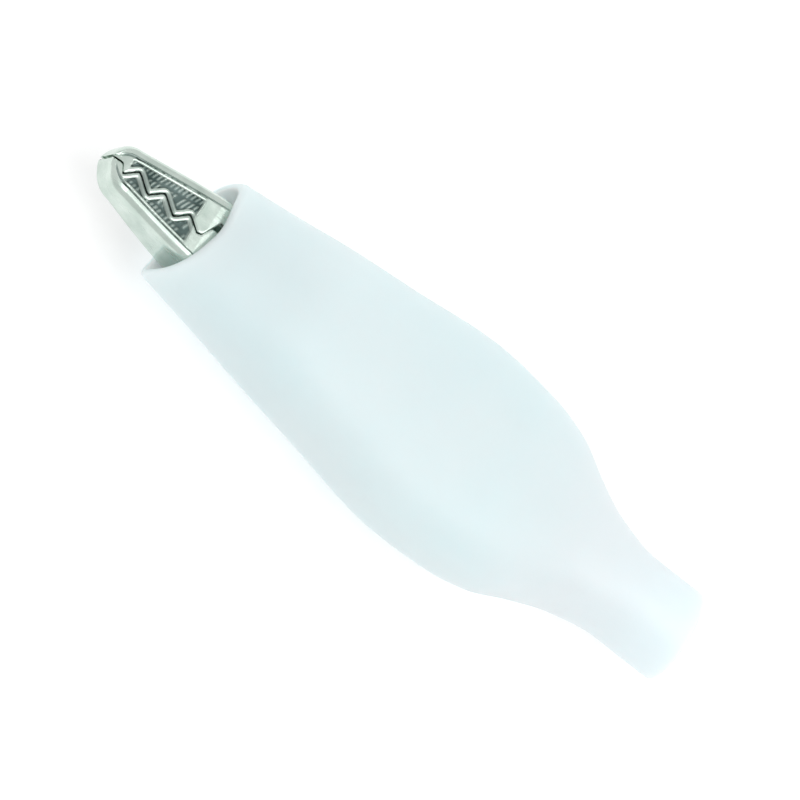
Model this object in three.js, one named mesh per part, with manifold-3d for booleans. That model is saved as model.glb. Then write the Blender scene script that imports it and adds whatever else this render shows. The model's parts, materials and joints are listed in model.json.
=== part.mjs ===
// An insulated alligator clip for a test lead, lying on its flank.
//
// Two stamped channel jaws turn on a rivet, and a torsion spring shuts them. The fixed jaw carries the
// wire screw and the crimp trough, and a soft hollow boot covers everything but the teeth.
//
// Millimetres. X runs along the clip with the jaw tip at +X, Y is the way the jaws open, and Z is up.
// The origin is at the middle of the footprint, on the surface that the clip lies on.

import * as THREE from "three";
import { mergeVertices } from "three/addons/utils/BufferGeometryUtils.js";
import Module from "manifold-3d";

const wasm = await Module();
wasm.setup();

// ---------------------------------------------------------------- driving dimensions

const clipLength = 50;
const tipX = clipLength / 2;
const tailX = -clipLength / 2;

const bootLength = 42.3;
const mouthX = tailX + bootLength;
const bootDepth = 8.6; // across the flanks, which is its height as it lies
const bulgeHalfY = 7.15;
const neckRadius = 3.2;
const bodyWall = 0.8;
const lipWall = 0.65;
const neckWall = 0.9;
const cornerShare = 0.97; // the section's corner radius as a share of its smaller half
const cornerSteps = 6;
const axisZ = bootDepth / 2;

const sheet = 0.5; // thickness of the jaws' metal
const bendRadius = 0.75; // outside of each fold
const jawGap = 0.12; // between the toothed edges when the jaws are shut
const fixedNoseRadius = 1.9;
const movingNoseRadius = 1.45;
const fixedNoseX = tipX - fixedNoseRadius; // the middle of each nose's arc
const movingNoseX = tipX - movingNoseRadius;
const noseHalfWidth = 1.25;
const noseEndShare = 0.7; // the nose's width at its very end, as a share of its full width
const noseEndHeight = 0.2; // of the nose's first section
const jawHalfWidth = 2.1; // behind the teeth
const leverHalfWidth = 2.7;
const leverDepth = 1.3; // from a lever's back to its free edges
const leverEndX = -5.6;
const nestGap = 0.1; // between the ears, where one jaw's run inside the other's
const movingEarHalf = 1.7;
const fixedEarHalf = movingEarHalf + nestGap + sheet;

const toothPitch = 2.08;
const toothHeight = 0.7;
const toothLean = 0.57; // share of the pitch from a fixed jaw's point to the moving jaw's next one
const toothBlunt = 0.1; // half of the flat on each point
const teethStartX = 22.9;
const teethEndX = 17.1;
const splitAtTeeth = 0.3; // the teeth's middle line leans off the middle plane, towards +Y
const splitSlope = 0.04;

const troughX = -8.9; // where the fixed jaw's crimp trough starts
const troughEndX = -10.6;
const troughHalfWidth = 1.9;
const troughBackY = 3.05;
const troughTabY = -0.6;

const pivotX = 8;
const earRadius = 2.3;
const rivetRadius = 0.8;
const rivetHeadRadius = 1.5;
const rivetHeadHeight = 0.42;
const fitGap = 0.06; // round the rivet and the screw

const springWire = 0.5;
const springRadius = 1.45; // to the wire's middle
const springPitch = 0.56;
const springWholeTurns = 2;
const springLegX = 0.3;
const springLegGap = 0.12;

const screwX = -1.5;
const screwRadius = 1.0;
const screwHeadRadius = 1.75;
const screwHeadHeight = 0.95;
const screwProud = 0.5; // how far the thread stands out of the lever's back
const screwSlotWidth = 0.45;
const screwSlotDepth = 0.5;
const driverHoleRadius = 1.8; // in the other lever, in line with the screw

// ---------------------------------------------------------------- curves

// Straight lines through [x, value] points in falling x.
function straightTable(points) {
  return (x) => {
    let i = 0;
    while (i < points.length - 2 && x < points[i + 1][0]) i += 1;
    const [x0, v0] = points[i];
    const [x1, v1] = points[i + 1];
    const t = Math.min(Math.max((x - x0) / (x1 - x0), 0), 1);
    return v0 + t * (v1 - v0);
  };
}

// A smooth curve through [x, value] points in falling x. It never overshoots a point, and it is level
// between two equal values.
function smoothTable(points) {
  const slopes = points.slice(1).map(([x, v], i) => (v - points[i][1]) / (x - points[i][0]));
  const tangents = points.map((_, i) => {
    const before = slopes[Math.max(i - 1, 0)];
    const after = slopes[Math.min(i, slopes.length - 1)];
    return before * after <= 0 ? 0 : (2 * before * after) / (before + after);
  });
  return (x) => {
    let i = 0;
    while (i < points.length - 2 && x < points[i + 1][0]) i += 1;
    const [x0, v0] = points[i];
    const [x1, v1] = points[i + 1];
    const span = x1 - x0;
    const t = Math.min(Math.max((x - x0) / span, 0), 1);
    const leave = tangents[i] * span - (v1 - v0);
    const arrive = v1 - v0 - tangents[i + 1] * span;
    return v0 + t * (v1 - v0) + t * (1 - t) * (leave * (1 - t) + arrive * t);
  };
}

// ---------------------------------------------------------------- solids

function flipped(geometry) {
  const { array } = geometry.index;
  for (let i = 0; i < array.length; i += 3) [array[i], array[i + 1]] = [array[i + 1], array[i]];
  return geometry;
}

function signedVolume(geometry) {
  const { position } = geometry.attributes;
  const { array } = geometry.index;
  const corners = [new THREE.Vector3(), new THREE.Vector3(), new THREE.Vector3()];
  let volume = 0;
  for (let i = 0; i < array.length; i += 3) {
    corners.forEach((corner, k) => corner.fromBufferAttribute(position, array[i + k]));
    volume += corners[0].dot(corners[1].clone().cross(corners[2])) / 6;
  }
  return volume;
}

// A closed solid between two grids of points of one size, [row][column]. A ring's last column joins its
// first, and an open sheet gets a strip along each side. The end rows are always joined to each other.
function thickSkin(outer, inner, isRing) {
  const rows = outer.length;
  const columns = outer[0].length;
  const at = (skin, row, column) => (skin * rows + row) * columns + (column % columns);
  const index = [];
  const quad = (a, b, c, d) => index.push(a, b, c, a, c, d);
  const spans = isRing ? columns : columns - 1;
  for (let r = 0; r < rows - 1; r += 1) {
    for (let c = 0; c < spans; c += 1) {
      quad(at(0, r, c), at(0, r, c + 1), at(0, r + 1, c + 1), at(0, r + 1, c));
      quad(at(1, r, c), at(1, r + 1, c), at(1, r + 1, c + 1), at(1, r, c + 1));
    }
    if (!isRing) {
      quad(at(0, r, 0), at(0, r + 1, 0), at(1, r + 1, 0), at(1, r, 0));
      quad(at(0, r, spans), at(1, r, spans), at(1, r + 1, spans), at(0, r + 1, spans));
    }
  }
  for (let c = 0; c < spans; c += 1) {
    quad(at(0, 0, c), at(1, 0, c), at(1, 0, c + 1), at(0, 0, c + 1));
    quad(at(0, rows - 1, c), at(0, rows - 1, c + 1), at(1, rows - 1, c + 1), at(1, rows - 1, c));
  }
  const geometry = new THREE.BufferGeometry();
  const positions = [...outer.flat(), ...inner.flat()].flatMap((p) => [p.x, p.y, p.z]);
  geometry.setAttribute("position", new THREE.Float32BufferAttribute(positions, 3));
  geometry.setIndex(index);
  return signedVolume(geometry) < 0 ? flipped(geometry) : geometry;
}

function toSolid(geometry) {
  const bare = geometry.clone();
  bare.deleteAttribute("normal");
  bare.deleteAttribute("uv");
  const merged = mergeVertices(bare, 1e-4);
  const vertProperties = new Float32Array(merged.attributes.position.array);
  const triVerts = new Uint32Array(merged.index.array);
  return new wasm.Manifold(new wasm.Mesh({ numProp: 3, vertProperties, triVerts }));
}

function cutAway(geometry, cutters) {
  const solid = cutters.reduce((left, cutter) => left.subtract(toSolid(cutter)), toSolid(geometry));
  const mesh = solid.getMesh();
  const result = new THREE.BufferGeometry();
  result.setAttribute("position", new THREE.BufferAttribute(mesh.vertProperties, mesh.numProp));
  result.setIndex(new THREE.BufferAttribute(mesh.triVerts, 1));
  return result;
}

// ---------------------------------------------------------------- boot

const bootHalfY = smoothTable([
  [mouthX, 4.3],
  [13.3, 4.8],
  [4, 6.1],
  [-4, bulgeHalfY],
  [-8.5, 6.85],
  [-11.4, 6.25],
  [-14.1, 5.0],
  [-17, 3.85],
  [-20.5, neckRadius],
  [tailX, neckRadius],
]);

const bootHalfZ = smoothTable([
  [mouthX, 2.95],
  [13, 3.6],
  [pivotX, bootDepth / 2],
  [-7, bootDepth / 2],
  [-11.5, 4.0],
  [-15, 3.5],
  [-20.5, neckRadius],
  [tailX, neckRadius],
]);

const bootWall = straightTable([
  [mouthX, lipWall],
  [14, bodyWall],
  [-12, bodyWall],
  [-20.5, neckWall],
  [tailX, neckWall],
]);

// One section of the boot, a rectangle with big round corners, drawn in by inset.
function bootRing(x, inset) {
  const radius = cornerShare * bootHalfZ(x) - inset;
  const centreY = bootHalfY(x) - inset - radius;
  const centreZ = bootHalfZ(x) - inset - radius;
  const ring = [];
  for (let corner = 0; corner < 4; corner += 1) {
    const sideY = corner === 0 || corner === 3 ? 1 : -1;
    const sideZ = corner < 2 ? 1 : -1;
    for (let step = 0; step <= cornerSteps; step += 1) {
      const angle = (Math.PI / 2) * (corner + step / cornerSteps);
      const y = sideY * centreY + radius * Math.cos(angle);
      const z = sideZ * centreZ + radius * Math.sin(angle);
      ring.push(new THREE.Vector3(x, y, axisZ + z));
    }
  }
  return ring;
}

function bootGeometry() {
  const front = [mouthX, 16.3, 14.6, 13, 11, 9.4, pivotX, 5.5, 3, 0.5, -2, -4.5, -7];
  const back = [-8.5, -10, -11.4, -12.7, -14.1, -15.5, -17, -18.7, -20.5, -22.7, tailX];
  const stations = [...front, ...back];
  const outer = stations.map((x) => bootRing(x, 0));
  const inner = stations.map((x) => bootRing(x, bootWall(x)));
  return thickSkin(outer, inner, true);
}

// ---------------------------------------------------------------- jaws

// How far the outside of a jaw's back stands from the middle plane, behind the nose.
const movingBack = smoothTable([
  [movingNoseX, movingNoseRadius],
  [20, 2.0],
  [mouthX, 2.35],
  [pivotX, 3.4],
  [-3, 5.1],
  [leverEndX, 5.4],
]);
const fixedBack = smoothTable([
  [fixedNoseX, fixedNoseRadius],
  [20, 2.4],
  [mouthX, 2.7],
  [pivotX, 3.4],
  [-3, 5.1],
  [-5, 5.4],
  [-6.4, 5.1],
  [-8, 3.65],
  [troughX, troughBackY],
  [troughEndX, troughBackY],
]);

const frontWidth = [
  [movingNoseX, noseHalfWidth],
  [mouthX, 1.95],
  [14, jawHalfWidth],
];
const movingWidth = straightTable([
  ...frontWidth,
  [11.3, movingEarHalf],
  [3.9, movingEarHalf],
  [-1, leverHalfWidth],
  [leverEndX, leverHalfWidth],
]);
const fixedWidth = straightTable([
  ...frontWidth,
  [11.3, fixedEarHalf],
  [5.4, fixedEarHalf],
  [-1, leverHalfWidth],
  [-5, leverHalfWidth],
  [troughX, troughHalfWidth],
  [troughEndX, troughHalfWidth],
]);

// Where the two jaws' toothed edges meet on average, as a Y.
const splitY = (x) => splitAtTeeth + splitSlope * (teethStartX - x);

// The free edge of a jaw's two sides as [x, height] points, with heights measured from the middle plane
// towards that jaw's own back. side is +1 for the fixed jaw on the +Y side and -1 for the moving one,
// whose teeth fill the gaps of the other's. The ears reach past the middle plane, to negative heights.
function freeEdge(side, noseX, backAt, tail) {
  const edge = (x, wave) => [x, side * (splitY(x) + (wave * toothHeight) / 2) + jawGap / 2];
  const points = [edge(noseX, 0)];
  for (let x = teethStartX; x > teethEndX; x -= toothPitch) {
    const nextX = x - toothLean * toothPitch;
    points.push(edge(x + toothBlunt, -1), edge(x - toothBlunt, -1));
    if (nextX > teethEndX) points.push(edge(nextX + toothBlunt, 1), edge(nextX - toothBlunt, 1));
  }
  const behindTeeth = side > 0 ? [[16.5, 0.15], [15.6, 0.5]] : [[16.85, -0.4], [16.2, 0.8]];
  points.push(edge(teethEndX, 0), ...behindTeeth, [14, 0.8], [11.3, 0.8]);
  const earSteps = 8;
  const earEnd = 0.2; // angle from the middle plane to where the ear's round edge starts
  for (let i = 0; i <= earSteps; i += 1) {
    const angle = earEnd + ((Math.PI - 2 * earEnd) * i) / earSteps;
    points.push([pivotX + earRadius * Math.cos(angle), -earRadius * Math.sin(angle)]);
  }
  points.push([4.9, 0.9], [3.9, 2.1]);
  [2.9, 0.5, -1, -3].forEach((x) => points.push([x, backAt(x) - leverDepth]));
  return [...points, ...tail];
}

// One section of a channel jaw: up one side, over the back and down the other side.
function channelSection(x, back, edge, halfWidth, inset, side) {
  const steps = 4;
  const top = back - inset;
  const half = halfWidth - inset;
  const radius = Math.min(bendRadius - inset, (top - edge) * 0.8);
  const profile = [[half, edge]];
  for (let i = 0; i <= steps; i += 1) {
    const angle = ((Math.PI / 2) * i) / steps;
    profile.push([half - radius + radius * Math.cos(angle), top - radius + radius * Math.sin(angle)]);
  }
  const mirrored = profile.map(([z, y]) => [-z, y]).reverse();
  return [...profile, ...mirrored].map(([z, y]) => new THREE.Vector3(x, side * y, axisZ + z));
}

// The nose is an arc of the given radius, from just beside the other jaw's nose round to the back.
function channelJaw(side, noseX, noseRadius, backAt, widthAt, edgePoints) {
  const edgeAt = straightTable(edgePoints);
  const noseEdge = edgePoints[0][1];
  const skin = (inset) => {
    const rows = [];
    const noseSteps = 6;
    const startAngle = Math.asin((noseEdge + noseEndHeight) / noseRadius);
    for (let i = 0; i < noseSteps; i += 1) {
      const share = i / noseSteps;
      const angle = startAngle + (Math.PI / 2 - startAngle) * share;
      const x = noseX + (noseRadius - inset) * Math.cos(angle);
      const back = inset + (noseRadius - inset) * Math.sin(angle);
      const taper = noseEndShare + (1 - noseEndShare) * Math.sqrt(share);
      const halfWidth = widthAt(noseX) * taper;
      rows.push(channelSection(x, back, noseEdge, halfWidth, inset, side));
    }
    edgePoints.forEach(([x]) => {
      rows.push(channelSection(x, backAt(x), edgeAt(x), widthAt(x), inset, side));
    });
    return rows;
  };
  return thickSkin(skin(0), skin(sheet), false);
}

// A round cutter along Z through the pivot.
function pivotHole() {
  const radius = rivetRadius + fitGap;
  const cutter = new THREE.CylinderGeometry(radius, radius, bootDepth, 20);
  return cutter.rotateX(Math.PI / 2).translate(pivotX, 0, axisZ);
}

// The screw stands square to the fixed lever's back, whose slope gives its tilt about Z.
const screwBackY = fixedBack(screwX) - sheet / 2;
const screwTilt = Math.atan((fixedBack(screwX + 1) - fixedBack(screwX - 1)) / 2);

// A round cutter on the screw's own line, at a distance along it from the middle of the lever's sheet.
function screwLineHole(radius, distance) {
  const cutter = new THREE.CylinderGeometry(radius, radius, 3, 20);
  return cutter.translate(0, distance, 0).rotateZ(screwTilt).translate(screwX, screwBackY, axisZ);
}

function fixedJawGeometry() {
  const tail = [
    [-5, fixedBack(-5) - leverDepth],
    [-6.4, fixedBack(-6.4) - leverDepth],
    [-7.3, 2.6],
    [-8, 1.2],
    [troughX, troughTabY],
    [troughEndX, troughTabY],
  ];
  const edge = freeEdge(1, fixedNoseX, fixedBack, tail);
  const jaw = channelJaw(1, fixedNoseX, fixedNoseRadius, fixedBack, fixedWidth, edge);
  return cutAway(jaw, [pivotHole(), screwLineHole(screwRadius + fitGap, 0)]);
}

function movingJawGeometry() {
  const tail = [[leverEndX, movingBack(leverEndX) - leverDepth]];
  const edge = freeEdge(-1, movingNoseX, movingBack, tail);
  const jaw = channelJaw(-1, movingNoseX, movingNoseRadius, movingBack, movingWidth, edge);
  return cutAway(jaw, [pivotHole(), screwLineHole(driverHoleRadius, -2 * screwBackY)]);
}

// ---------------------------------------------------------------- rivet, spring and screw

function pivotRivetGeometry() {
  const neck = fixedEarHalf + fitGap;
  const end = neck + rivetHeadHeight;
  const domed = end - rivetHeadHeight / 2;
  const half = [
    [0, end],
    [rivetHeadRadius * 0.65, end],
    [rivetHeadRadius, domed],
    [rivetHeadRadius, neck],
    [rivetRadius, neck],
  ];
  const mirrored = half.map(([r, y]) => [r, -y]).reverse();
  const profile = [...half, ...mirrored].map(([r, y]) => new THREE.Vector2(r, y)).reverse();
  return new THREE.LatheGeometry(profile, 24).rotateX(Math.PI / 2).translate(pivotX, 0, axisZ);
}

// Each leg leaves the coil on its tangent and ends just under a lever's back.
function torsionSpringGeometry() {
  const legY = fixedBack(springLegX) - sheet - springWire / 2 - springLegGap;
  const legFromPivot = Math.hypot(springLegX - pivotX, legY);
  const startAngle = Math.atan2(legY, springLegX - pivotX) - Math.acos(springRadius / legFromPivot);
  const sweep = 2 * startAngle + springWholeTurns * 2 * Math.PI;
  const halfLength = (springPitch * sweep) / (4 * Math.PI);
  const points = [new THREE.Vector3(springLegX, legY, axisZ - halfLength)];
  const coilSteps = 44;
  for (let i = 0; i <= coilSteps; i += 1) {
    const angle = startAngle - (sweep * i) / coilSteps;
    const x = pivotX + springRadius * Math.cos(angle);
    const z = axisZ + halfLength * ((2 * i) / coilSteps - 1);
    points.push(new THREE.Vector3(x, springRadius * Math.sin(angle), z));
  }
  points.push(new THREE.Vector3(springLegX, -legY, axisZ + halfLength));
  const path = new THREE.CurvePath();
  points.slice(1).forEach((point, i) => path.add(new THREE.LineCurve3(points[i], point)));
  const section = new THREE.Shape().absarc(0, 0, springWire / 2, 0, 2 * Math.PI, false);
  const options = { steps: 96, curveSegments: 8, bevelEnabled: false, extrudePath: path };
  return new THREE.ExtrudeGeometry(section, options);
}

function clampScrewGeometry() {
  const seat = -sheet / 2 - fitGap;
  const headEnd = seat - screwHeadHeight;
  const threadEnd = sheet / 2 + screwProud;
  const chamfer = 0.15;
  const profile = [
    [0, headEnd],
    [screwHeadRadius - chamfer, headEnd],
    [screwHeadRadius, headEnd + chamfer],
    [screwHeadRadius, seat],
    [screwRadius, seat],
    [screwRadius, threadEnd - chamfer],
    [screwRadius - chamfer, threadEnd],
    [0, threadEnd],
  ].map(([r, y]) => new THREE.Vector2(r, y));
  const blank = new THREE.LatheGeometry(profile, 24);
  const slot = new THREE.BoxGeometry(screwHeadRadius * 3, screwSlotDepth * 2, screwSlotWidth);
  return cutAway(blank, [slot.translate(0, headEnd, 0)]);
}

// ---------------------------------------------------------------- assembly

function finish(color, roughness, metalness) {
  return new THREE.MeshStandardMaterial({ color, roughness, metalness });
}

function piece(name, geometry, material) {
  const mesh = new THREE.Mesh(geometry, material);
  mesh.name = name;
  return mesh;
}

const clip = new THREE.Group();
clip.add(piece("insulating_boot", bootGeometry(), finish("#dceff0", 0.55, 0)));
clip.add(piece("fixed_jaw", fixedJawGeometry(), finish("#c3c9c4", 0.3, 1)));
clip.add(piece("moving_jaw", movingJawGeometry(), finish("#c3c9c4", 0.3, 1)));
clip.add(piece("pivot_rivet", pivotRivetGeometry(), finish("#b4b9b6", 0.35, 1)));
clip.add(piece("torsion_spring", torsionSpringGeometry(), finish("#8f9494", 0.4, 1)));

const clampScrew = piece("clamp_screw", clampScrewGeometry(), finish("#c9b98a", 0.35, 1));
clampScrew.rotation.z = screwTilt;
clampScrew.position.set(screwX, screwBackY, axisZ);
clip.add(clampScrew);

export default clip;
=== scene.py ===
import json
import math

import bpy
import numpy as np
from mathutils import Matrix, Vector


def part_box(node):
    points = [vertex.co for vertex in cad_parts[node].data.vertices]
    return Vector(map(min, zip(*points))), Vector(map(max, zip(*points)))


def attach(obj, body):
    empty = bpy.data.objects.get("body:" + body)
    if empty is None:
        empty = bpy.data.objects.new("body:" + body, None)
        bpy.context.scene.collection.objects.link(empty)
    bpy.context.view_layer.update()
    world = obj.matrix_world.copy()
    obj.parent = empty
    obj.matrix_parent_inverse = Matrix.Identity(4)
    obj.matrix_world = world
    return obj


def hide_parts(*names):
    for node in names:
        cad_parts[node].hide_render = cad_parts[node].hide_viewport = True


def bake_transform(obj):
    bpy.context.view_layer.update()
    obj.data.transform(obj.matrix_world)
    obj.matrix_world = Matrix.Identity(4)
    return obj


# An insulated alligator clip lying on its flank. The CAD parts are the frame: +X runs to the jaw tip,
# the fixed jaw is on the +Y side, and z = 0 is the surface that the clip lies on. Meshes are worked out
# in millimetres and scaled once, in new_piece().

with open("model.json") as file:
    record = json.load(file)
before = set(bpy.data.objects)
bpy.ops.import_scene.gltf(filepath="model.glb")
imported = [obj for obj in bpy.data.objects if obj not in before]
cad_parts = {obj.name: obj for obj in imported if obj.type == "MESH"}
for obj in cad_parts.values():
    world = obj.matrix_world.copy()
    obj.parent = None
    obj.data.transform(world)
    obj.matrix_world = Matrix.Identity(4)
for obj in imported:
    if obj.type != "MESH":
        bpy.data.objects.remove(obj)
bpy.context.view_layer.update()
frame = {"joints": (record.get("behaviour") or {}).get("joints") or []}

MM = 0.001


def box_mm(node):
    low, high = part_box(node)
    return np.array(low) / MM, np.array(high) / MM


boot_low, boot_high = box_mm("insulating_boot")
fixed_low = box_mm("fixed_jaw")[0]
moving_low, moving_high = box_mm("moving_jaw")
rivet_low, rivet_high = box_mm("pivot_rivet")
spring_low, spring_high = box_mm("torsion_spring")

tail_x, tip_x = boot_low[0], moving_high[0]
mouth_x = 17.5  # where the boot's mouth would be if it were cut straight
axis_z = (boot_low[2] + boot_high[2]) / 2
half_depth = (boot_high[2] - boot_low[2]) / 2
bulge_y = boot_high[1]
pivot_x = (rivet_low[0] + rivet_high[0]) / 2

# ---------------------------------------------------------------- curves and grids


def hermite_tangents(points):
    """Slopes of a curve through [x, value] points in rising x that never overshoots them."""
    steps = [(v1 - v0) / (x1 - x0) for (x0, v0), (x1, v1) in zip(points, points[1:])]
    tangents = [steps[0]]
    for before, after in zip(steps, steps[1:]):
        level = before * after <= 0
        tangents.append(0 if level else 2 * before * after / (before + after))
    return tangents + [steps[-1]]


def smooth_curve(*points):
    """A function of x through [x, value] points."""
    points = sorted(points)
    xs, vs = np.array(points, float).T
    tangents = np.array(hermite_tangents(points))

    def value(x):
        x = np.clip(np.asarray(x, float), xs[0], xs[-1])
        i = np.clip(np.searchsorted(xs, x) - 1, 0, len(xs) - 2)
        span = xs[i + 1] - xs[i]
        t = (x - xs[i]) / span
        rise = vs[i + 1] - vs[i]
        leave = tangents[i] * span - rise
        arrive = rise - tangents[i + 1] * span
        return vs[i] + t * rise + t * (1 - t) * (leave * (1 - t) + arrive * t)

    return value


def straight_curve(*points):
    xs, vs = np.array(sorted(points), float).T
    return lambda x: np.interp(x, xs, vs)


def smoothstep(x, start, end):
    t = np.clip((np.asarray(x, float) - start) / (end - start), 0, 1)
    return t * t * (3 - 2 * t)


def grid_faces(rows, columns, wrap_rows=False, wrap_columns=False):
    """Quads between the points of a grid that is stored row by row."""
    faces = []
    for r in range(rows if wrap_rows else rows - 1):
        for c in range(columns if wrap_columns else columns - 1):
            r1, c1 = (r + 1) % rows, (c + 1) % columns
            corners = ((r, c), (r, c1), (r1, c1), (r1, c))
            faces.append([row * columns + column for row, column in corners])
    return faces


def new_piece(name, points, faces, material, keep_sharp=None):
    """A smooth-shaded mesh object from points in millimetres, with its faces turned outwards."""
    mesh = bpy.data.meshes.new(name)
    mesh.from_pydata((np.asarray(points, float) * MM).tolist(), [], faces)
    mesh.validate()
    piece = bpy.data.objects.new(name, mesh)
    bpy.context.scene.collection.objects.link(piece)
    if signed_volume(mesh) < 0:
        mesh.flip_normals()
    mesh.shade_smooth()
    if keep_sharp is not None:
        mesh.set_sharp_from_angle(angle=keep_sharp)
    mesh.materials.append(material)
    return piece


def signed_volume(mesh):
    mesh.calc_loop_triangles()
    corners = np.array([v.co for v in mesh.vertices])
    triangles = np.array([t.vertices for t in mesh.loop_triangles])
    a, b, c = (corners[triangles[:, k]] for k in range(3))
    return float(np.einsum("ij,ij->i", a, np.cross(b, c)).sum() / 6)


def set_point_values(piece, name, values):
    layer = piece.data.attributes.new(name, "FLOAT", "POINT")
    layer.data.foreach_set("value", np.asarray(values, np.float32).ravel())


# ---------------------------------------------------------------- materials


def node_material(name, **settings):
    """A Principled material with its even settings on the shader's own sockets, and its node tree."""
    material = bpy.data.materials.new(name)
    material.use_nodes = True
    tree = material.node_tree
    shader = tree.nodes["Principled BSDF"]
    for socket, value in settings.items():
        shader.inputs[socket.replace("_", " ")].default_value = value
    return material, tree, shader


def add_noise(tree, scale, detail=3.0, stretch=(1, 1, 1)):
    """Noise fixed to the piece, with scale in features per metre, optionally stretched along an axis."""
    place = tree.nodes.new("ShaderNodeTexCoord")
    mapping = tree.nodes.new("ShaderNodeMapping")
    mapping.inputs["Scale"].default_value = stretch
    noise = tree.nodes.new("ShaderNodeTexNoise")
    noise.inputs["Scale"].default_value = scale
    noise.inputs["Detail"].default_value = detail
    tree.links.new(place.outputs["Object"], mapping.inputs["Vector"])
    tree.links.new(mapping.outputs["Vector"], noise.inputs["Vector"])
    return noise.outputs["Fac"]


def add_layer(tree, name):
    """The values that set_point_values() stored on the mesh."""
    layer = tree.nodes.new("ShaderNodeAttribute")
    layer.attribute_name = name
    return layer.outputs["Fac"]


def add_ramp(tree, value, *stops):
    """A colour ramp over value, from (position, colour) stops."""
    ramp = tree.nodes.new("ShaderNodeValToRGB")
    elements = ramp.color_ramp.elements
    while len(elements) < len(stops):
        elements.new(0.5)
    for element, (position, colour) in zip(elements, stops):
        element.position = position
        element.color = (*colour, 1)
    tree.links.new(value, ramp.inputs["Fac"])
    return ramp.outputs["Color"]


def add_range(tree, value, low, high, from_low=0.3, from_high=0.7):
    """value rescaled to run from low to high."""
    node = tree.nodes.new("ShaderNodeMapRange")
    node.inputs["From Min"].default_value = from_low
    node.inputs["From Max"].default_value = from_high
    node.inputs["To Min"].default_value = low
    node.inputs["To Max"].default_value = high
    tree.links.new(value, node.inputs["Value"])
    return node.outputs["Result"]


def add_mix(tree, factor, first, second):
    node = tree.nodes.new("ShaderNodeMix")
    node.data_type = "RGBA"
    tree.links.new(factor, node.inputs["Factor"])
    for socket, value in ((node.inputs["A"], first), (node.inputs["B"], second)):
        if isinstance(value, tuple):
            socket.default_value = (*value, 1)
        else:
            tree.links.new(value, socket)
    return node.outputs["Result"]


def add_bump(tree, shader, height, distance_mm, strength=1.0):
    bump = tree.nodes.new("ShaderNodeBump")
    bump.inputs["Strength"].default_value = strength
    bump.inputs["Distance"].default_value = distance_mm * MM
    tree.links.new(height, bump.inputs["Height"])
    earlier = shader.inputs["Normal"].links
    if earlier:
        tree.links.new(earlier[0].from_socket, bump.inputs["Normal"])
    tree.links.new(bump.outputs["Normal"], shader.inputs["Normal"])


def vinyl_material():
    """Soft white vinyl: a faint cool tint that comes and goes, a satin skin and a trace of mould texture.
    The inside layer marks the bore, which is painted paler as painted light standing in for the light that
    the shaded bore lacks, and the neck layer the neck, which is paler too."""
    material, tree, shader = node_material(
        "boot_vinyl", IOR=1.5, Subsurface_Weight=0.9, Subsurface_Scale=2.2 * MM, Coat_Weight=0.06
    )
    shader.inputs["Subsurface Radius"].default_value = (0.85, 1.0, 1.0)
    shader.inputs["Coat Roughness"].default_value = 0.35
    cloud = add_noise(tree, scale=90, detail=2)
    tint = add_ramp(tree, cloud, (0.35, (0.665, 0.85, 0.895)), (0.65, (0.70, 0.87, 0.91)))
    neck = add_layer(tree, "neck")
    inside = add_layer(tree, "inside")
    outer_tone = add_mix(tree, neck, tint, (0.72, 0.82, 0.86))
    # painted light: the bore's surface is mixed to a paler colour in place of light reaching the shaded
    # inside
    tree.links.new(add_mix(tree, inside, outer_tone, (0.88, 0.97, 1.0)), shader.inputs["Base Color"])
    streak = add_noise(tree, scale=420, detail=4, stretch=(0.25, 1, 1))
    tree.links.new(add_range(tree, streak, 0.38, 0.5), shader.inputs["Roughness"])
    add_bump(tree, shader, add_noise(tree, scale=9000, detail=2), 0.012, 0.35)
    add_bump(tree, shader, streak, 0.05, 0.3)
    return material


def nickel_material():
    """Bright nickel plate. Its mask layer paints shade: dark plate on the pressed panels, in the groove by
    the fold and on one side of each tooth's rim.
    """
    material, tree, shader = node_material("jaw_plate", Metallic=1.0)
    painted_shade_mask = add_layer(tree, "painted_shade_mask")
    cloud = add_noise(tree, scale=700, detail=5)
    bright = add_ramp(tree, cloud, (0.3, (0.52, 0.62, 0.56)), (0.7, (0.69, 0.78, 0.72)))
    # painted shade: this near-black tone stands in for the shade and dark reflections in the panels, the
    # groove and the tooth rims
    painted_shade = add_ramp(tree, cloud, (0.3, (0.04, 0.065, 0.06)), (0.7, (0.14, 0.19, 0.18)))
    tree.links.new(add_mix(tree, painted_shade_mask, bright, painted_shade), shader.inputs["Base Color"])
    drawn = add_noise(tree, scale=2500, detail=4, stretch=(0.12, 1, 1))
    smooth_plate = add_range(tree, drawn, 0.17, 0.3)
    rough_panel = add_range(tree, drawn, 0.38, 0.55)
    blend_node = tree.nodes.new("ShaderNodeMix")
    tree.links.new(painted_shade_mask, blend_node.inputs["Factor"])
    tree.links.new(smooth_plate, blend_node.inputs["A"])
    tree.links.new(rough_panel, blend_node.inputs["B"])
    tree.links.new(blend_node.outputs["Result"], shader.inputs["Roughness"])
    add_bump(tree, shader, drawn, 0.01, 0.5)
    return material


def turned_metal(name, dark, light, low_roughness, high_roughness, stretch):
    """Worked metal with fine tool marks that run across the given stretch."""
    material, tree, shader = node_material(name, Metallic=1.0)
    tone = add_ramp(tree, add_noise(tree, scale=600, detail=5), (0.3, dark), (0.7, light))
    tree.links.new(tone, shader.inputs["Base Color"])
    marks = add_noise(tree, scale=3000, detail=3, stretch=stretch)
    tree.links.new(add_range(tree, marks, low_roughness, high_roughness), shader.inputs["Roughness"])
    add_bump(tree, shader, marks, 0.01, 0.5)
    return material


def floor_material():
    """A pale matt light table."""
    material, tree, shader = node_material("pale_card", Roughness=0.9, Emission_Strength=0.55)
    shader.inputs["Emission Color"].default_value = (1, 1, 1, 1)
    grain = add_ramp(tree, add_noise(tree, scale=400), (0.3, (0.5, 0.5, 0.5)), (0.7, (0.54, 0.54, 0.54)))
    tree.links.new(grain, shader.inputs["Base Color"])
    return material


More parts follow.
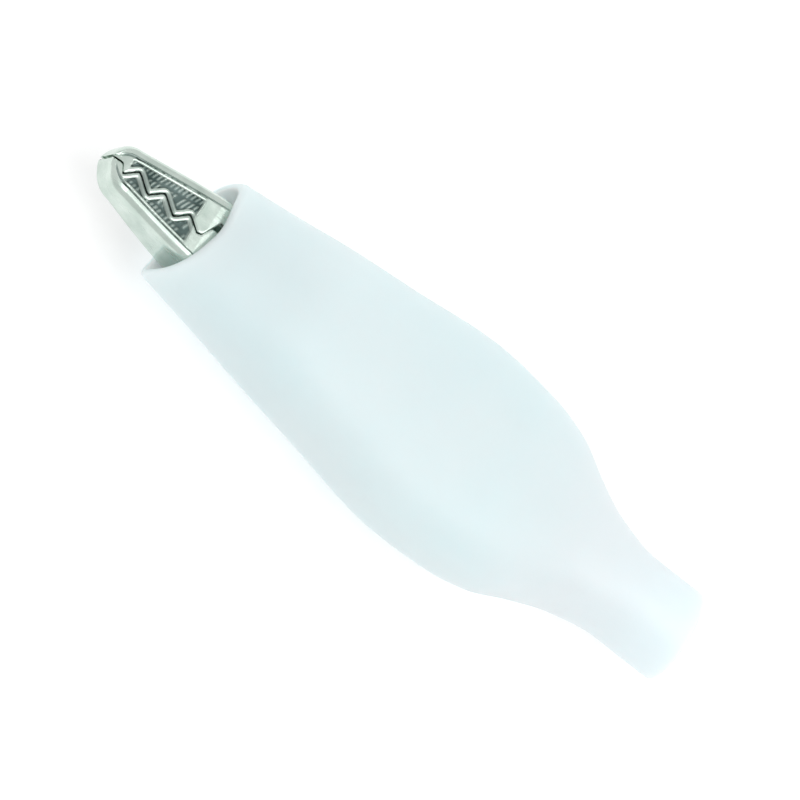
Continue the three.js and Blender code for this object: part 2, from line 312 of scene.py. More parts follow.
VINYL = vinyl_material()
NICKEL = nickel_material()
RIVET_STEEL = turned_metal("rivet_steel", (0.52, 0.55, 0.54), (0.72, 0.74, 0.73), 0.22, 0.4, (1, 1, 0.2))
SPRING_STEEL = turned_metal("spring_wire", (0.36, 0.38, 0.38), (0.56, 0.58, 0.58), 0.25, 0.45, (1, 1, 0.3))
BRASS = turned_metal("screw_brass", (0.62, 0.52, 0.27), (0.80, 0.70, 0.44), 0.22, 0.42, (1, 0.2, 1))

# ---------------------------------------------------------------- boot

NECK_RADIUS = 3.2
NECK_BEND_START_X = -14
NECK_RISE = 0.14  # slope of the neck's end, which lifts off the surface
NECK_CUT_SLOPE = 0.1  # its end is cut a little aslant, longer on the +Y side
MOUTH_SLANT_START_X = 8
MOUTH_REACH = 1.05  # how much further the +Y lip reaches towards the tip
MOUTH_REACH_FROM = -0.15  # the reach begins at this share of the half width
MOUTH_CUT_BACK = 0.45  # and how far the -Y one stands back
MOUTH_TILT = 0.35  # the upper flank's lip stands back from the lower one's by twice this
MOUTH_SAG = 0.24  # and both stand back from the corners by this
LIP_WAVE = 0.07
RING_POINTS = 120
OUTSIDE_ROWS = 170
INSIDE_ROWS = 110
NECK_EDGE_ROUND = 0.22
NECK_TONE_X = (-6, -18)  # between these the vinyl grows paler towards the neck
BEND_END_X = -12  # behind this a boot point's share is 0
BEND_HALF_SPREAD = 0.9  # the share fades across this share of the half width on either side of the middle

boot_half_y = smooth_curve(
    (mouth_x, 4.3), (13.3, 4.8), (4, 6.1), (-4, bulge_y), (-8.5, 6.85), (-11.4, 6.25),
    (-14.1, 5.0), (-17, 3.85), (-20.5, NECK_RADIUS), (tail_x, NECK_RADIUS),
)
boot_half_z = smooth_curve(
    (mouth_x, 2.95), (13, 3.6), (pivot_x, half_depth), (-7, half_depth), (-11.5, 4.0),
    (-15, 3.5), (-20.5, NECK_RADIUS), (tail_x, NECK_RADIUS),
)
boot_wall = straight_curve((mouth_x, 0.65), (14, 0.8), (-12, 0.8), (-20.5, 0.9), (tail_x, 0.9))
boot_squareness = smooth_curve((mouth_x, 2.5), (8, 2.8), (-8, 2.8), (-17, 2.15), (-20.5, 2), (tail_x, 2))


def even_ring_angles(count):
    """Angles that space a typical boot section's points about evenly."""
    dense = np.linspace(0, 2 * math.pi, 4001)
    y = 1.5 * np.sign(np.cos(dense)) * np.abs(np.cos(dense)) ** 0.8
    z = np.sign(np.sin(dense)) * np.abs(np.sin(dense)) ** 0.8
    along = np.concatenate([[0], np.cumsum(np.hypot(np.diff(y), np.diff(z)))])
    return np.interp(np.linspace(0, along[-1], count, endpoint=False), along, dense)


def boot_profile():
    """The wall's outline as (x, inset) points: out along the outside, round the lip and back inside."""
    lip = float(boot_wall(mouth_x)) / 2
    edge = NECK_EDGE_ROUND
    cut_x = tail_x + NECK_RADIUS * NECK_CUT_SLOPE
    neck_wall = float(boot_wall(tail_x))
    outside = [(x, 0.0) for x in np.linspace(cut_x + edge, mouth_x - lip, OUTSIDE_ROWS)]
    turns = np.linspace(0, math.pi, 13)[1:-1]
    round_lip = [(mouth_x - lip + lip * math.sin(a), lip - lip * math.cos(a)) for a in turns]
    inside = [(x, float(boot_wall(x))) for x in np.linspace(mouth_x - lip, cut_x + edge, INSIDE_ROWS)]
    quarter = np.linspace(0, math.pi / 2, 6)[1:]
    corner_x, corner_inset = cut_x + edge, neck_wall - edge
    inner_edge = [(corner_x - edge * math.sin(a), corner_inset + edge * math.cos(a)) for a in quarter]
    outer_edge = [(x, neck_wall - inset) for x, inset in reversed(inner_edge)]
    return np.array(outside + round_lip + inside + inner_edge + outer_edge)


def settle_boot(points):
    """The soft shell's departures from a straight moulding: a slanted, wavy mouth and a lifted neck."""
    x, y, z = points[..., 0], points[..., 1], points[..., 2]
    mouth = smoothstep(x, MOUTH_SLANT_START_X, mouth_x)
    around = np.arctan2(z - axis_z, y)
    wave = LIP_WAVE * (np.sin(3 * around + 0.6) + 0.6 * np.sin(5 * around + 2.1))
    aside = y / boot_half_y(mouth_x)
    reach = MOUTH_REACH * np.clip((aside - MOUTH_REACH_FROM) / (1 - MOUTH_REACH_FROM), 0, 1) ** 1.6
    reach -= MOUTH_CUT_BACK * np.clip(-aside, 0, 1) ** 2
    depth = (z - axis_z) / boot_half_z(mouth_x)
    reach -= MOUTH_TILT * depth + MOUTH_SAG * depth**2
    bend_length = NECK_BEND_START_X - tail_x
    share = np.clip((NECK_BEND_START_X - x) / bend_length, 0, 1)
    rise = NECK_RISE * bend_length * share**2 / 2
    lean = NECK_RISE * (z - axis_z) - NECK_CUT_SLOPE * y * share
    return np.stack([x + mouth * (reach + wave) + share * lean, y, z + rise], axis=-1)


def make_boot():
    profile = boot_profile()
    angles = even_ring_angles(RING_POINTS)
    x, inset = profile[:, :1], profile[:, 1:]
    power = 2 / boot_squareness(x)
    y = (boot_half_y(x) - inset) * np.sign(np.cos(angles)) * np.abs(np.cos(angles)) ** power
    z = (boot_half_z(x) - inset) * np.sign(np.sin(angles)) * np.abs(np.sin(angles)) ** power
    straight = np.stack([np.broadcast_to(x, y.shape), y, axis_z + z], axis=-1)
    points = settle_boot(straight).reshape(-1, 3)
    faces = grid_faces(len(profile), RING_POINTS, wrap_rows=True, wrap_columns=True)
    boot = new_piece("boot_sleeve", points, faces, VINYL)
    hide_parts("insulating_boot")
    # painted light: marks the bore's surface, which the vinyl paints paler
    set_point_values(boot, "inside", np.broadcast_to(inset > boot_wall(x) - 0.1, y.shape))
    set_point_values(boot, "neck", np.broadcast_to(smoothstep(x, *NECK_TONE_X), y.shape))
    bend_with_jaw(boot, boot_share(straight.reshape(-1, 3)))
    return boot


def boot_share(points):
    """A share for each point of the boot: 1 on the -Y side, from the mouth to the lever's end, and 0 on the
    +Y side and in the neck."""
    x, y = points[:, 0], points[:, 1]
    across = smoothstep(-y / boot_half_y(x), -BEND_HALF_SPREAD, BEND_HALF_SPREAD)
    along = smoothstep(x, BEND_END_X, moving_low[0] - 0.2)
    return across * along


def bend_with_jaw(piece, shares):
    """Bakes piece's transform into its mesh. The shares argument is not used."""
    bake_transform(piece)


# ---------------------------------------------------------------- jaws

SHEET = 0.5
BEND_RADIUS = 0.6
NOSE_HALF_WIDTH = 1.25
NOSE_END_SHARE = 0.7
JAW_HALF_WIDTH = 2.1
LEVER_HALF_WIDTH = 2.7
LEVER_DEPTH = 1.3
FIXED_NOSE_RADIUS = 1.9
MOVING_NOSE_RADIUS = 1.45
EAR_RADIUS = 2.3
JAW_GAP = 0.12
WAIST_FRONT_X = 14  # the plain stretch between the teeth and the ears
WAIST_REAR_X = 11.3
WAIST_EDGE = 0.8  # height of its free edge off the middle plane
EAR_ANGLES = np.linspace(0.2, math.pi - 0.2, 19)  # round the free edge of an ear
LEVER_START_X = 4.9

TOOTH_PITCH = 2.08
TOOTH_HEIGHT = 0.74
TOOTH_LEAN = 0.57  # share of the pitch from a fixed jaw's point to the moving jaw's next one
TOOTH_SHARPNESS = 0.95
TEETH_START_X = 23.03
TEETH_END_X = 17.95
SPLIT_AT_TEETH = 0.3  # the teeth's middle line leans off the middle plane, towards +Y
SPLIT_SLOPE = 0.04
SPLIT_AT_NOSE = 0.1
FIRST_TOOTH_X = 23.9  # the edges run straight from here to the nose's end

TOOTH_SHADE_FADE = 0.12  # share of the pitch

RIM_WIDTH = 0.34  # the round raised border along the teeth
FOLD_GROOVE = 0.1  # beside the fold
FOLD_GROOVE_DEPTH = 0.07
FOLD_RIM = 0.27  # the round raised border between that groove and the panel
PANEL_DEPTH = 0.16
PANEL_FRONT_X = 23.9
PANEL_REAR_X = 18.4
PANEL_OFFSET = 0.12  # the fixed jaw's panel starts further forward and ends further back, by this
PANEL_END_SLOPE = 0.12
MARK_PITCH = 0.31
MARK_ROW = 0.8
MARK_HEIGHT = 0.08
MARK_LEAN = 0.45
MARK_STAGGER = 0.37  # share of the pitch that each row is moved along by
MARK_TABLE = (12, 64)  # rows and columns of random strengths, which repeat beyond that
MARK_SIDES = (0.12, 0.34)  # a ridge falls off between these shares of the pitch from its middle
MARK_HALF_LENGTH = 0.36  # share of a row's height
MARK_LENGTH_SPREAD = 0.14
MARK_WEAKEST = 0.45
MARKS_LEFT_OUT = 0.12
NOSE_DOME = 0.16  # how far each flank rounds off towards the nose's end

NOSE_DOME_START_X = 23.4
GROOVE_AT_NOSE = 0.14  # how much wider the groove gets at the nose
GROOVE_WIDENS_X = (22.9, 23.8)
GROOVE_STARTS_X = (16.5, 17.5)
GROOVE_ENDS_X = (24.4, 24.7)
EDGE_ROUND = 0.1  # rounding of the plain edges
RIVET_HOLE_RADIUS = 0.86
DRILL_LENGTH = 12
STATION_STEP = 0.06  # between the sections from the nose to the end of the dense stretch
DENSE_END_X = 16.5
WAIST_STEP = 0.3  # between the sections behind it
LEVER_STEP = 0.35
NOSE_STEPS = 30
NOSE_EDGE_BACK = 0.15  # the nose's free edge is read this far behind the tip
NOSE_EDGE_RAISE = 0.07
OUTLINE_START_X = 15  # the free edge is sampled from here to the tip, to measure distances from it
OUTLINE_STEP = 0.04
EDGE_ROUND_START_X = 15.5
FLANK_EVENNESS = 0.4  # 1 spaces a flank's rows evenly, and less crowds them at its two borders

FLANK_ROWS = 38
BEND_ROWS = 7
BACK_ROWS = 5


def tooth_wave(x):
    """+1 at a tooth of the moving jaw and -1 at one of the fixed jaw, with rounded points."""
    phase = ((TEETH_START_X - x) / TOOTH_PITCH) % 1
    rise = np.where(phase < TOOTH_LEAN, phase / TOOTH_LEAN, (1 - phase) / (1 - TOOTH_LEAN))
    return np.arcsin(TOOTH_SHARPNESS * np.sin(math.pi * (rise - 0.5))) / math.asin(TOOTH_SHARPNESS)


def toothed_edge(side, x):
    """Height of a jaw's toothed edge off the middle plane, towards that jaw's own back."""
    split = SPLIT_AT_TEETH + SPLIT_SLOPE * (TEETH_START_X - x)
    toothed = split + tooth_wave(np.minimum(x, FIRST_TOOTH_X)) * TOOTH_HEIGHT / 2
    to_nose = smoothstep(x, FIRST_TOOTH_X, FIRST_TOOTH_X + 0.4)
    return side * (toothed + (SPLIT_AT_NOSE - toothed) * to_nose) + JAW_GAP / 2


def ear_and_lever(back, *tail):
    """The free edge from the ear, which reaches past the middle plane, to the lever's end."""
    ear = [(pivot_x + EAR_RADIUS * math.cos(a), -EAR_RADIUS * math.sin(a)) for a in EAR_ANGLES]
    lever = [(x, float(back(x)) - LEVER_DEPTH) for x in (2.9, 0.5, -1, -3)]
    waist = [(WAIST_FRONT_X, WAIST_EDGE), (WAIST_REAR_X, WAIST_EDGE)]
    return straight_curve(*waist, *ear, (LEVER_START_X, 0.9), (3.9, 2.1), *lever, *tail)


class Jaw:
    """The measures of one channel jaw. side is +1 for the fixed jaw and -1 for the moving one."""

    def __init__(self, side, nose_radius, back_points, width_points, behind_teeth, tail_points):
        self.side = side
        self.nose_radius = nose_radius
        self.nose_x = tip_x - nose_radius
        self.back = smooth_curve((self.nose_x, nose_radius), *back_points)
        nose_width = (tip_x - MOVING_NOSE_RADIUS, NOSE_HALF_WIDTH)
        waist_width = (WAIST_FRONT_X, JAW_HALF_WIDTH)
        self.half_width = straight_curve(nose_width, (mouth_x, 1.95), waist_width, *width_points)
        self.end_x = tail_points[-1][0]
        start = (TEETH_END_X, float(toothed_edge(side, TEETH_END_X)))
        self.neck_edge = smooth_curve(start, *behind_teeth, (WAIST_FRONT_X, WAIST_EDGE))
        self.rear_edge = ear_and_lever(self.back, *tail_points)

    def edge(self, x):
        behind = np.where(x > WAIST_FRONT_X, self.neck_edge(x), self.rear_edge(x))
        return np.where(x > TEETH_END_X, toothed_edge(self.side, x), behind)


fixed_jaw = Jaw(
    side=1,
    nose_radius=FIXED_NOSE_RADIUS,
    back_points=[(20, 2.4), (mouth_x, 2.7), (pivot_x, 3.4), (-3, 5.1), (-5, 5.4), (-6.4, 5.1), (-8, 3.65),
                 (-8.9, 3.05), (fixed_low[0], 3.05)],
    width_points=[(WAIST_REAR_X, 2.3), (5.4, 2.3), (-1, LEVER_HALF_WIDTH), (-5, LEVER_HALF_WIDTH),
                  (-8.9, 1.9), (fixed_low[0], 1.9)],
    behind_teeth=[(17.65, 0.7), (17.4, 0.22), (17.2, -0.08), (16.9, -0.12), (16, 0.4)],
    tail_points=[(-5, 4.1), (-6.4, 3.8), (-7.3, 2.6), (-8, 1.2), (-8.9, -0.6), (fixed_low[0], -0.6)],
)
moving_jaw = Jaw(
    side=-1,
    nose_radius=MOVING_NOSE_RADIUS,
    back_points=[(20, 2.0), (mouth_x, 2.35), (pivot_x, 3.4), (-3, 5.1), (moving_low[0], 5.4)],
    width_points=[(WAIST_REAR_X, 1.7), (3.9, 1.7), (-1, LEVER_HALF_WIDTH),
                  (moving_low[0], LEVER_HALF_WIDTH)],
    behind_teeth=[(17.65, -0.62), (17.35, -0.1), (17.1, 0.42), (16.9, 0.75)],
    tail_points=[(moving_low[0], 4.1)],
)


def jaw_stations(jaw):
    """(x, nose angle) of every section, dense over the teeth. The angle is 90 degrees behind the nose."""
    nose_edge = float(jaw.edge(np.array(tip_x - NOSE_EDGE_BACK)))
    start = math.asin((nose_edge + NOSE_EDGE_RAISE) / jaw.nose_radius)
    angles = np.linspace(start, math.pi / 2, NOSE_STEPS)[:-1]
    nose = [(jaw.nose_x + jaw.nose_radius * math.cos(a), a) for a in angles]
    teeth = np.arange(jaw.nose_x, DENSE_END_X, -STATION_STEP)
    waist = np.arange(DENSE_END_X, WAIST_REAR_X + 0.2, -WAIST_STEP)
    ear = pivot_x + EAR_RADIUS * np.cos(EAR_ANGLES)
    rear = np.arange(LEVER_START_X, jaw.end_x + 0.2, -LEVER_STEP)
    behind = [*teeth, *waist, WAIST_REAR_X, *ear, *rear, jaw.end_x]
    return nose + [(x, math.pi / 2) for x in behind]


def bead(distance, width):
    """The round profile of a raised border, 1 along its middle and 0 from its two sides outwards."""
    return np.sqrt(np.clip(1 - (2 * distance / width - 1) ** 2, 0, 1))


def panel_zone(jaw, x):
    """1 between the nose and the plain rear part of a flank, where the pressed panel is."""
    front = PANEL_FRONT_X + PANEL_OFFSET * jaw.side
    rear = PANEL_REAR_X - PANEL_OFFSET * jaw.side
    return smoothstep(x, rear, rear + PANEL_END_SLOPE) * (1 - smoothstep(x, front - PANEL_END_SLOPE, front))


def edge_distance(jaw, x, height):
    outline_x = np.arange(OUTLINE_START_X, tip_x, OUTLINE_STEP)
    outline = jaw.edge(outline_x)
    return np.hypot(x[..., None] - outline_x, height[..., None] - outline).min(axis=-1)


def panel_share(jaw, x, height):
    """1 on the floor of a flank's pressed panel and 0 on the raised borders, at points of the flank."""
    fold = jaw.back(x) - BEND_RADIUS - height - FOLD_GROOVE
    floor = (1 - bead(edge_distance(jaw, x, height), RIM_WIDTH)) * (fold > 0)
    return floor * (1 - bead(np.clip(fold, 0, None), FOLD_RIM)) * panel_zone(jaw, x)


def fold_groove(jaw, x, height):
    """1 along the bottom of the groove beside the fold, which widens where it turns round the nose."""
    past_nose = np.clip(x - jaw.nose_x, 0, jaw.nose_radius)
    top = np.where(x > jaw.nose_x, np.sqrt(jaw.nose_radius**2 - past_nose**2), jaw.back(x))
    width = FOLD_GROOVE + GROOVE_AT_NOSE * smoothstep(x, *GROOVE_WIDENS_X)
    reach = np.clip(top - BEND_RADIUS - height, 0, width)
    return bead(reach, width) * smoothstep(x, *GROOVE_STARTS_X) * (1 - smoothstep(x, *GROOVE_ENDS_X))


def tooth_shade(jaw, x, height):
    """1 on the rims of the side of each tooth that faces the tip, where painted shade stands in for their
    darker reflection.
    """
    phase = ((TEETH_START_X - x) / TOOTH_PITCH) % 1
    side = smoothstep(phase, 0, TOOTH_SHADE_FADE)
    side *= 1 - smoothstep(phase, TOOTH_LEAN - TOOTH_SHADE_FADE, TOOTH_LEAN)
    near_edge = 1 - smoothstep(edge_distance(jaw, x, height), RIM_WIDTH * 0.8, RIM_WIDTH * 1.1)
    return side * near_edge * panel_zone(jaw, x)


def press_marks(jaw, x, height):
    """Share of full height of the short slanted ridges in a panel, in rows that run along the jaw."""
    rng = np.random.default_rng(7 + jaw.side)
    chance = rng.random(MARK_TABLE)
    depth = jaw.back(x) - BEND_RADIUS - height
    row = np.floor(depth / MARK_ROW).astype(int)
    along = (x + depth * MARK_LEAN * jaw.side) / MARK_PITCH + MARK_STAGGER * row
    column = np.floor(along).astype(int)
    luck = chance[row % MARK_TABLE[0], column % MARK_TABLE[1]]
    across = 1 - smoothstep(np.abs(along - column - 0.5), *MARK_SIDES)
    end = MARK_HALF_LENGTH + MARK_LENGTH_SPREAD * luck
    length = 1 - smoothstep(np.abs(depth / MARK_ROW - row - 0.5), end - MARK_LENGTH_SPREAD, end)
    strength = MARK_WEAKEST + (1 - MARK_WEAKEST) * luck
    return across * length * strength * (luck > MARKS_LEFT_OUT)


def flank_relief(jaw, x, height):
    """How far the flank's outside is pressed in from its flat plane."""
    panel = panel_share(jaw, x, height) * (PANEL_DEPTH - MARK_HEIGHT * press_marks(jaw, x, height))
    reach = np.clip(edge_distance(jaw, x, height), 0, EDGE_ROUND)
    edge_round = EDGE_ROUND * (1 - bead(reach, 2 * EDGE_ROUND))
    edge_round *= (1 - panel_zone(jaw, x)) * (x > EDGE_ROUND_START_X)
    groove = FOLD_GROOVE_DEPTH * fold_groove(jaw, x, height)
    dome = NOSE_DOME * np.clip((x - NOSE_DOME_START_X) / (tip_x - NOSE_DOME_START_X), 0, 1) ** 2
    return panel + edge_round + groove + dome


def jaw_sections(jaw, stations, inset):
    """The sections' points of one skin, from the +Z free edge over the back to the -Z one."""
    x, angle = np.array(stations).T
    nose = angle < math.pi / 2 - 1e-6
    share = (angle - angle[0]) / (math.pi / 2 - angle[0])
    taper = np.where(nose, NOSE_END_SHARE + (1 - NOSE_END_SHARE) * np.sqrt(share), 1)
    top = np.where(nose, (jaw.nose_radius - inset) * np.sin(angle), jaw.back(x) - inset)
    skin_x = np.where(nose, jaw.nose_x + (jaw.nose_radius - inset) * np.cos(angle), x)
    half = jaw.half_width(np.minimum(x, jaw.nose_x)) * taper - inset
    edge = np.minimum(jaw.edge(x), top - 0.05)
    radius = np.minimum(BEND_RADIUS - inset * 0.8, (top - edge) * 0.8)
    even = np.arange(FLANK_ROWS) / FLANK_ROWS
    crowded = (1 - np.cos(math.pi * even)) / 2
    flank = FLANK_EVENNESS * even + (1 - FLANK_EVENNESS) * crowded
    flank_y = edge[:, None] + (top - radius - edge)[:, None] * flank
    flank_x = np.broadcast_to(skin_x[:, None], flank_y.shape)
    press = flank_relief(jaw, flank_x, flank_y) if inset == 0 else 0
    flank_z = np.broadcast_to(half[:, None], flank_y.shape) - press
    turn = np.linspace(0, math.pi / 2, BEND_ROWS)
    bend_z = (half - radius)[:, None] + radius[:, None] * np.cos(turn)
    bend_y = (top - radius)[:, None] + radius[:, None] * np.sin(turn)
    back_z = (half - radius)[:, None] * (1 - np.arange(1, BACK_ROWS + 1) / BACK_ROWS)
    back_y = np.broadcast_to(top[:, None], back_z.shape)
    y = np.concatenate([flank_y, bend_y, back_y], axis=1)
    z = np.concatenate([flank_z, bend_z, back_z], axis=1)
    y = np.concatenate([y, y[:, -2::-1]], axis=1)
    z = np.concatenate([z, -z[:, -2::-1]], axis=1)
    x = np.broadcast_to(skin_x[:, None], y.shape)
    return np.stack([x, jaw.side * y, axis_z + z], axis=-1)


def make_jaw(name, jaw, node, body):
    stations = jaw_stations(jaw)
    outer = jaw_sections(jaw, stations, 0)
    inner = jaw_sections(jaw, stations, SHEET)
    rows, columns = outer.shape[:2]
    ring = np.concatenate([outer, inner[:, ::-1]], axis=1)
    faces = grid_faces(rows, 2 * columns, wrap_columns=True)
    last = (rows - 1) * 2 * columns
    for k in range(columns - 1):
        strip = [k, k + 1, 2 * columns - 2 - k, 2 * columns - 1 - k]
        faces += [strip[::-1], [last + i for i in strip]]
    piece = new_piece(name, ring.reshape(-1, 3), faces, NICKEL)
    drill(piece, Vector((pivot_x, 0, axis_z)), Vector((0, 0, 1)), RIVET_HOLE_RADIUS, DRILL_LENGTH)
    drill(piece, *jaw_screw_hole(jaw))
    piece.data.set_sharp_from_angle(angle=math.radians(42))
    points = np.array([v.co for v in piece.data.vertices]) / MM
    x, height, z = points[:, 0], jaw.side * points[:, 1], np.abs(points[:, 2] - axis_z)
    outside = z > jaw.half_width(x) - SHEET * 0.7
    # painted shade: the panels' floors (less on the press marks' ridges), the groove beside the fold and
    # one side of each tooth's rim get dark plate in place of their shade and dark reflections
    floor = panel_share(jaw, x, height) * (1 - 0.45 * press_marks(jaw, x, height))
    painted_shade = np.maximum(floor, 0.8 * fold_groove(jaw, x, height))
    painted_shade = np.maximum(painted_shade, 0.5 * tooth_shade(jaw, x, height))
    set_point_values(piece, "painted_shade_mask", painted_shade * outside)
    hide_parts(node)
    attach(piece, body)
    return piece


# ---------------------------------------------------------------- rivet, spring and screw

screw_joint = next(joint for joint in frame["joints"] if joint["name"] == "screw_turn")
screw_seat = Vector(screw_joint["pos_m"]) / MM
screw_axis = Vector(screw_joint["axis"]).normalized()
THREAD_HOLE_RADIUS = 1.06
DRIVER_HOLE_RADIUS = 1.8
SCREW_DRILL_LENGTH = 3


def jaw_screw_hole(jaw):
    """Centre, axis, radius and length of the hole on the screw's line: for the thread in the fixed jaw's
    lever, and for the driver in the other's."""
    if jaw.side > 0:
        return screw_seat, screw_axis, THREAD_HOLE_RADIUS, SCREW_DRILL_LENGTH
    opposite = screw_seat - 2 * screw_seat.y * screw_axis
    return opposite, screw_axis, DRIVER_HOLE_RADIUS, SCREW_DRILL_LENGTH


def cut_with(piece, cutter):
    modifier = piece.modifiers.new("cut", "BOOLEAN")
    modifier.operation = "DIFFERENCE"
    modifier.solver = "EXACT"
    modifier.object = cutter
    evaluated = piece.evaluated_get(bpy.context.evaluated_depsgraph_get())
    result = bpy.data.meshes.new_from_object(evaluated)
    piece.modifiers.clear()
    piece.data = result
    bpy.data.objects.remove(cutter)


def lathe(name, profile, material, centre, axis, steps=64):
    """A turned piece from (radius, distance along the axis) points, closed at both ends."""
    profile = np.array(profile, float)
    turn = np.linspace(0, 2 * math.pi, steps, endpoint=False)
    radius, along = profile[:, :1], profile[:, 1:]
    rings = np.stack([radius * np.cos(turn), radius * np.sin(turn), np.tile(along, steps)], axis=-1)
    frame_turn = np.array(Vector((0, 0, 1)).rotation_difference(axis).to_matrix())
    points = rings.reshape(-1, 3) @ frame_turn.T + np.array(centre)
    faces = grid_faces(len(profile), steps, wrap_columns=True)
    last = (len(profile) - 1) * steps
    faces += [list(range(steps))[::-1], [last + i for i in range(steps)]]
    return new_piece(name, points, faces, material, keep_sharp=math.radians(40))


def drill(piece, centre, axis, radius, length):
    cutter = lathe("drill", [(radius, -length / 2), (radius, length / 2)], NICKEL, centre, axis, 48)
    cut_with(piece, cutter)


def rounded_corner(radius, along, size, direction, steps=5):
    """Points that round a turned piece's outer corner, from its rim on to its end face."""
    turns = np.linspace(0, math.pi / 2, steps)
    radii = radius - size + size * np.cos(turns)
    return list(zip(radii, along + direction * size * (np.sin(turns) - 1)))


RIVET_RADIUS = 0.8
RIVET_HEAD_RADIUS = 1.5
RIVET_NECK = 2.36  # from the pin's middle to the underside of each head
RIVET_RIM = 0.12  # from there to the start of the dome
RIVET_CHAMFER = (0.08, 0.05)  # round the head's underside: inwards, and along the pin


def make_rivet():
    """A headed pin: two low domed heads outside the fixed jaw's ears."""
    radius, head, neck = RIVET_RADIUS, RIVET_HEAD_RADIUS, RIVET_NECK
    rim = neck + RIVET_RIM
    chamfer_in, chamfer_along = RIVET_CHAMFER
    end = rivet_high[2] - axis_z
    dome = [(head * math.cos(a), rim + (end - rim) * math.sin(a)) for a in np.linspace(0, 1.5, 9)]
    half = [(radius, 0), (radius, neck), (head - chamfer_in, neck), (head, neck + chamfer_along), *dome]
    profile = [(r, -d) for r, d in reversed(half[1:])] + half
    rivet = lathe("rivet_pin", profile, RIVET_STEEL, Vector((pivot_x, 0, axis_z)), Vector((0, 0, 1)))
    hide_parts("pivot_rivet")
    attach(rivet, "root")


SPRING_WIRE_RADIUS = 0.25
SPRING_TURNS = 2  # whole turns, besides the part of a turn between the legs
COIL_STEPS = 130
LEG_STEPS = 24


def make_spring():
    """Round wire wound about the rivet, with a leg under each lever."""
    wire = SPRING_WIRE_RADIUS
    coil_radius = spring_high[0] - pivot_x - wire
    leg_x, leg_y = spring_low[0] + 0.1, spring_high[1] - wire
    half_width = (spring_high[2] - spring_low[2]) / 2 - wire
    reach = math.hypot(leg_x - pivot_x, leg_y)
    start = math.atan2(leg_y, leg_x - pivot_x) - math.acos(coil_radius / reach)
    sweep = 2 * start + SPRING_TURNS * 2 * math.pi
    turns = start - sweep * np.linspace(0, 1, COIL_STEPS)
    coil = np.stack([
        pivot_x + coil_radius * np.cos(turns),
        coil_radius * np.sin(turns),
        axis_z + half_width * np.linspace(-1, 1, COIL_STEPS),
    ], axis=-1)
    fade = np.linspace(0, 1, LEG_STEPS, endpoint=False)[:, None]
    first_end = np.array([leg_x, leg_y, coil[0, 2]])
    last_end = np.array([leg_x, -leg_y, coil[-1, 2]])
    first_leg = first_end + (coil[0] - first_end) * fade
    last_leg = (last_end + (coil[-1] - last_end) * fade)[::-1]
    path = np.concatenate([first_leg, coil, last_leg])
    shares = np.concatenate([np.zeros(LEG_STEPS), np.linspace(0, 1, COIL_STEPS), np.ones(LEG_STEPS)])
    spring, point_shares = tube("spring_coil", path, shares, wire, SPRING_STEEL)
    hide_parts("torsion_spring")
    bend_with_jaw(spring, point_shares)


def tube(name, path, shares, radius, material, sides=16):
    """Round wire along a path that winds about Z, with rounded ends, and each point's share."""
    ahead = np.gradient(path, axis=0)
    ahead /= np.linalg.norm(ahead, axis=1, keepdims=True)
    side = np.cross(ahead, [0, 0, 1])
    side /= np.linalg.norm(side, axis=1, keepdims=True)
    up = np.cross(side, ahead)
    scale = np.ones(len(path))
    scale[[0, -1]] = 0.75
    turn = np.linspace(0, 2 * math.pi, sides, endpoint=False)
    ring = side[:, None] * np.cos(turn)[:, None] + up[:, None] * np.sin(turn)[:, None]
    points = path[:, None] + ring * (radius * scale)[:, None, None]
    faces = grid_faces(len(path), sides, wrap_columns=True)
    last = (len(path) - 1) * sides
    faces += [list(range(sides))[::-1], [last + i for i in range(sides)]]
    return new_piece(name, points.reshape(-1, 3), faces, material, keep_sharp=1.0), np.repeat(shares, sides)


SCREW_HEAD_RADIUS = 1.75
SCREW_HEAD_ROUND = 0.18
SCREW_SEAT, SCREW_HEAD_END = -0.31, -1.26  # along its axis, from the middle of the lever's sheet
SCREW_THREAD_END = 0.75
THREAD_RADIUS = 1.0
THREAD_ROOT = 0.84
THREAD_PITCH = 0.25
SLOT_WIDTH = 0.45
SLOT_DEPTH = 0.5


def make_screw():
    """A slotted cheese-head screw with a fine thread, head inside the lever."""
    seat, head_end, thread_end = SCREW_SEAT, SCREW_HEAD_END, SCREW_THREAD_END
    root, crest, pitch = THREAD_ROOT, THREAD_RADIUS, THREAD_PITCH
    ridges = []
    for k in range(int((thread_end - 0.15 - seat) / pitch)):
        base = seat + 0.05 + k * pitch
        ridges += [(root, base), (crest, base + pitch * 0.45), (crest, base + pitch * 0.55)]
    head = [(r, -d) for r, d in reversed(rounded_corner(SCREW_HEAD_RADIUS, -head_end, SCREW_HEAD_ROUND, 1))]
    under_head = [(SCREW_HEAD_RADIUS, seat), (root, seat)]
    profile = [*head, *under_head, *ridges, (root, thread_end - 0.12), (0.7, thread_end)]
    screw = lathe("screw_body", profile, BRASS, screw_seat, screw_axis)
    turn = Vector((0, 0, 1)).rotation_difference(screw_axis).to_matrix().to_4x4()
    bpy.ops.mesh.primitive_cube_add(size=1)
    slot = bpy.context.object
    size = Matrix.Diagonal((SLOT_WIDTH * MM, 5 * MM, 2 * SLOT_DEPTH * MM, 1))
    slot.matrix_world = Matrix.Translation((screw_seat + screw_axis * head_end) * MM) @ turn @ size
    cut_with(screw, slot)
    screw.data.set_sharp_from_angle(angle=math.radians(40))
    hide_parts("clamp_screw")
    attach(screw, "clamp_screw")


# ---------------------------------------------------------------- camera, light and floor

FRAME_WIDTH = 50.5  # millimetres across the picture at the clip
LENS = 400  # millimetres
SENSOR = 36
TIP_NEARER = math.radians(20)  # the tip leans towards the camera
FLANK_ROLL = math.radians(22)  # and the fixed jaw's back is turned towards it
AXIS_IN_PICTURE = math.radians(40.62)  # slope of the clip down the picture, from its tip
ROOM_STRENGTH = 0.8  # of the even white room
FLOOR_REACH = 3000
FLOOR_LEVEL = -0.02  # just under the clip, so that the two surfaces never coincide
PICTURE_SHIFT = (0.364, 0.112)  # millimetres right and up of the clip's middle, at the picture's middle


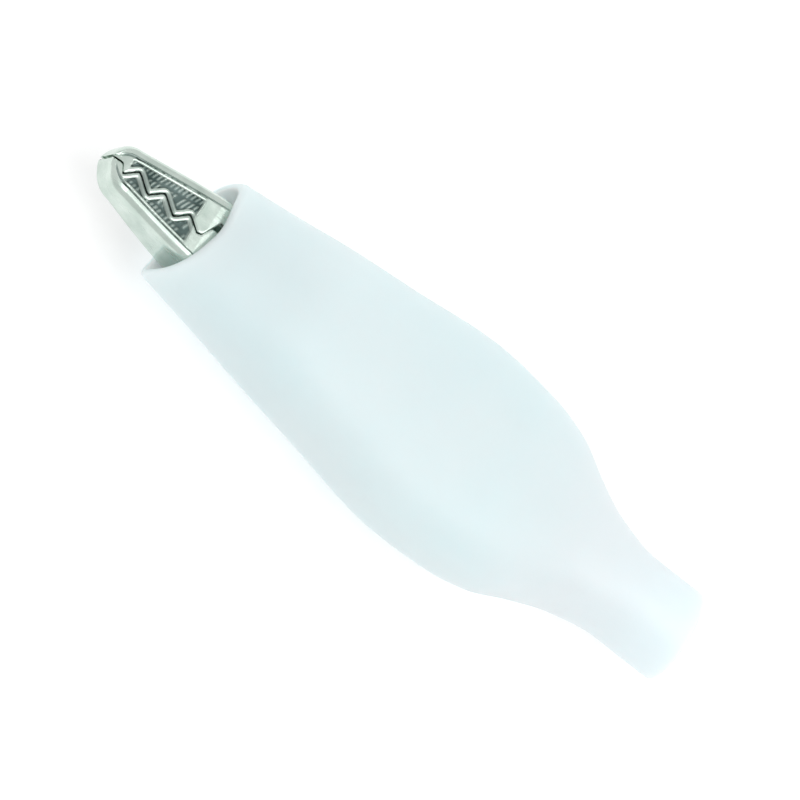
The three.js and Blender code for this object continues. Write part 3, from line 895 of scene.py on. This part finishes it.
def make_camera():
    away = math.cos(TIP_NEARER)
    towards = Vector((math.sin(TIP_NEARER), away * math.sin(FLANK_ROLL), away * math.cos(FLANK_ROLL)))
    down_clip = (towards * math.sin(TIP_NEARER) - Vector((1, 0, 0))).normalized()
    across_clip = down_clip.cross(towards)
    right = down_clip * math.cos(AXIS_IN_PICTURE) - across_clip * math.sin(AXIS_IN_PICTURE)
    up = towards.cross(right)
    target = Vector((0, 0, axis_z)) + right * PICTURE_SHIFT[0] + up * PICTURE_SHIFT[1]
    data = bpy.data.cameras.new("camera")
    data.lens, data.sensor_width = LENS, SENSOR
    data.clip_start, data.clip_end = 0.01, 20
    camera = bpy.data.objects.new("camera", data)
    distance = FRAME_WIDTH * LENS / SENSOR
    pose = Matrix((right, up, towards)).transposed().to_4x4()
    camera.matrix_world = Matrix.Translation((target + towards * distance) * MM) @ pose
    bpy.context.scene.collection.objects.link(camera)
    bpy.context.scene.camera = camera


def soft_light(name, direction, distance_mm, size_mm, watts):
    """A square soft box that faces the clip from a direction."""
    data = bpy.data.lights.new(name, "AREA")
    data.size = size_mm * MM
    data.energy = watts
    light = bpy.data.objects.new(name, data)
    direction = Vector(direction).normalized()
    light.location = direction * distance_mm * MM
    light.rotation_mode = "QUATERNION"
    light.rotation_quaternion = direction.to_track_quat("Z", "Y")
    bpy.context.scene.collection.objects.link(light)


def make_stage():
    ends = (-FLOOR_REACH, FLOOR_REACH)
    corners = [(x, y, FLOOR_LEVEL) for y in ends for x in ends]
    floor = new_piece("floor", corners, [[0, 1, 3, 2]], floor_material())
    world = bpy.data.worlds.new("studio")
    world.use_nodes = True
    background = world.node_tree.nodes["Background"]
    background.inputs["Color"].default_value = (1, 1, 1, 1)
    background.inputs["Strength"].default_value = ROOM_STRENGTH
    bpy.context.scene.world = world
    soft_light("key", (-0.35, 0.1, 0.9), 240, 200, 0.23)
    soft_light("edge", (0.6, -0.5, 0.6), 300, 60, 0.08)
    bpy.context.scene.view_settings.view_transform = "Standard"


make_camera()
make_stage()
make_boot()
make_jaw("jaw_plate_fixed", fixed_jaw, "fixed_jaw", "root")
make_jaw("jaw_plate_moving", moving_jaw, "moving_jaw", "moving_jaw")
make_rivet()
make_spring()
make_screw()
